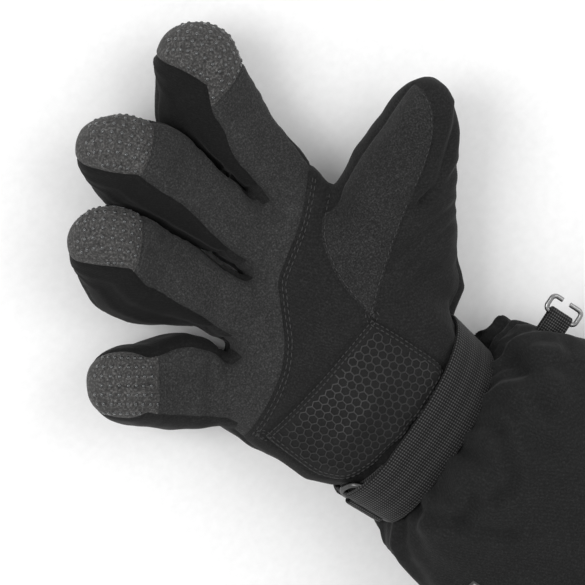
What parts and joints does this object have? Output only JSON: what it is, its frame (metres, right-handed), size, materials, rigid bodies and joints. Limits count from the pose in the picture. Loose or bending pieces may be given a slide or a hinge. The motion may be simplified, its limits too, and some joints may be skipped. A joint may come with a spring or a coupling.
{
  "type": "ski glove",
  "caption": "Insulated ski glove for the right hand, with grip fingertips, a honeycomb heel patch, a ring-and-strap wrist and a flared gauntlet cuff.",
  "frame": {"origin": "under the middle of the glove's box, on the surface that its back lies on", "axes": "+Z out of the palm, +Y from the cuff to the fingertips, +X to the thumb side"},
  "size_m": [0.2092, 0.311, 0.0857],
  "materials": {
    "softshell": "matte stretch softshell, fine twill",
    "suede": "grained synthetic suede",
    "grip_patch": "heathered knit with printed silicone dots",
    "honeycomb": "raised hexagon print on fabric",
    "webbing": "ribbed woven webbing",
    "fleece": "brushed fleece",
    "wadding": "polyester insulation",
    "hook_tape": "hook and loop tape",
    "ring_metal": "polished nickel plate",
    "hook_metal": "polished nickel plate",
    "label": "satin woven, blank",
    "binding": "woven binding tape"
  },
  "bodies": {
    "hand": {"palm_suede": "suede", "palm_panel": "softshell", "hand_back": "softshell", "heel_patch": "honeycomb", "hand_back_insulation": "wadding", "palm_lining": "fleece"},
    "cuff": {"cuff_palm_panel": "softshell", "cuff_back_panel": "softshell", "hem_binding": "binding", "cuff_lining": "fleece", "woven_label": "label", "wrist_strap": "webbing", "strap_back": "webbing", "strap_loop_tape": "hook_tape", "ring_anchor": "webbing", "tab_loop": "webbing"},
    "strap_ring": {"strap_ring": "ring_metal"},
    "strap_tail": {"strap_tail": "webbing", "tail_hook_tape": "hook_tape"},
    "tab_hook": {"tab_hook": "hook_metal"},
    "index_lower": {"index_palm_face_lower": "suede", "index_side_wall_lower": "softshell", "index_back_lower": "softshell", "index_lining": "fleece"},
    "index_upper": {"index_palm_face_upper": "suede", "index_tip_patch": "grip_patch", "index_side_wall_upper": "softshell", "index_back_upper": "softshell"},
    "middle_lower": {"middle_palm_face_lower": "suede", "middle_side_wall_lower": "softshell", "middle_back_lower": "softshell", "middle_lining": "fleece"},
    "middle_upper": {"middle_palm_face_upper": "suede", "middle_tip_patch": "grip_patch", "middle_side_wall_upper": "softshell", "middle_back_upper": "softshell"},
    "ring_lower": {"ring_palm_face_lower": "suede", "ring_side_wall_lower": "softshell", "ring_back_lower": "softshell", "ring_lining": "fleece"},
    "ring_upper": {"ring_palm_face_upper": "suede", "ring_tip_patch": "grip_patch", "ring_side_wall_upper": "softshell", "ring_back_upper": "softshell"},
    "little_lower": {"little_palm_face_lower": "suede", "little_side_wall_lower": "softshell", "little_back_lower": "softshell", "little_lining": "fleece"},
    "little_upper": {"little_palm_face_upper": "suede", "little_tip_patch": "grip_patch", "little_side_wall_upper": "softshell", "little_back_upper": "softshell"},
    "thumb_lower": {"thumb_pad_lower": "suede", "thumb_back_lower": "softshell", "thumb_lining": "fleece"},
    "thumb_upper": {"thumb_pad_upper": "suede", "thumb_back_upper": "softshell"}
  },
  "joints": [
    {"name": "index_base_bend", "type": "hinge", "parent": "hand", "child": "index_lower", "pos_m": [0.02507, 0.08643, 0.01846], "axis": [0.9877, -0.1564, 0], "range_deg": [-15, 50], "deforming": ["index_lining"]},
    {"name": "index_middle_bend", "type": "hinge", "parent": "index_lower", "child": "index_upper", "pos_m": [0.02928, 0.11299, 0.02081], "axis": [0.9877, -0.1564, 0], "range_deg": [-10, 60], "deforming": ["index_lining"]},
    {"name": "middle_base_bend", "type": "hinge", "parent": "hand", "child": "middle_lower", "pos_m": [-0.00643, 0.07856, 0.01903], "axis": [0.9778, 0.2096, 0], "range_deg": [-15, 50], "deforming": ["middle_lining"]},
    {"name": "middle_middle_bend", "type": "hinge", "parent": "middle_lower", "child": "middle_upper", "pos_m": [-0.01286, 0.10857, 0.02335], "axis": [0.9778, 0.2096, 0], "range_deg": [-10, 60], "deforming": ["middle_lining"]},
    {"name": "ring_base_bend", "type": "hinge", "parent": "hand", "child": "ring_lower", "pos_m": [-0.03544, 0.06083, 0.01941], "axis": [0.9527, 0.304, 0], "range_deg": [-15, 50], "deforming": ["ring_lining"]},
    {"name": "ring_middle_bend", "type": "hinge", "parent": "ring_lower", "child": "ring_upper", "pos_m": [-0.04412, 0.08803, 0.02445], "axis": [0.9527, 0.304, 0], "range_deg": [-10, 60], "deforming": ["ring_lining"]},
    {"name": "little_base_bend", "type": "hinge", "parent": "hand", "child": "little_lower", "pos_m": [-0.06634, 0.03343, 0.01979], "axis": [0.7826, 0.6225, 0], "range_deg": [-15, 40], "deforming": ["little_lining"]},
    {"name": "little_middle_bend", "type": "hinge", "parent": "little_lower", "child": "little_upper", "pos_m": [-0.07852, 0.04874, 0.02395], "axis": [0.7826, 0.6225, 0], "range_deg": [-10, 40], "deforming": ["little_lining"]},
    {"name": "thumb_base_bend", "type": "hinge", "parent": "hand", "child": "thumb_lower", "pos_m": [0.05084, 0.02619, 0.02923], "axis": [0.5736, -0.8192, 0], "range_deg": [-10, 35], "deforming": ["thumb_lining"]},
    {"name": "thumb_middle_bend", "type": "hinge", "parent": "thumb_lower", "child": "thumb_upper", "pos_m": [0.0703, 0.03983, 0.03257], "axis": [0.5736, -0.8192, 0], "range_deg": [-10, 40], "deforming": ["thumb_lining"]},
    {"name": "wrist_bend", "type": "hinge", "parent": "hand", "child": "cuff", "pos_m": [-0.0118, -0.02567, 0.03674], "axis": [0.9781, 0.2079, 0], "range_deg": [-20, 20], "deforming": ["palm_lining", "cuff_lining"]},
    {"name": "ring_tilt", "type": "hinge", "parent": "cuff", "child": "strap_ring", "pos_m": [-0.05062, -0.0525, 0.04286], "axis": [0.2034, -0.9568, -0.2079], "range_deg": [0, 40]},
    {"name": "tail_peel", "type": "hinge", "parent": "cuff", "child": "strap_tail", "pos_m": [-0.05276, -0.05215, 0.03197], "axis": [-0.2034, 0.9568, 0.2079], "range_deg": [0, 60]},
    {"name": "tab_hook_swing", "type": "hinge", "parent": "cuff", "child": "tab_hook", "pos_m": [0.0681, -0.05531, 0.0388], "axis": [-0.2079, 0.9781, 0], "range_deg": [-50, 50]}
  ]
}
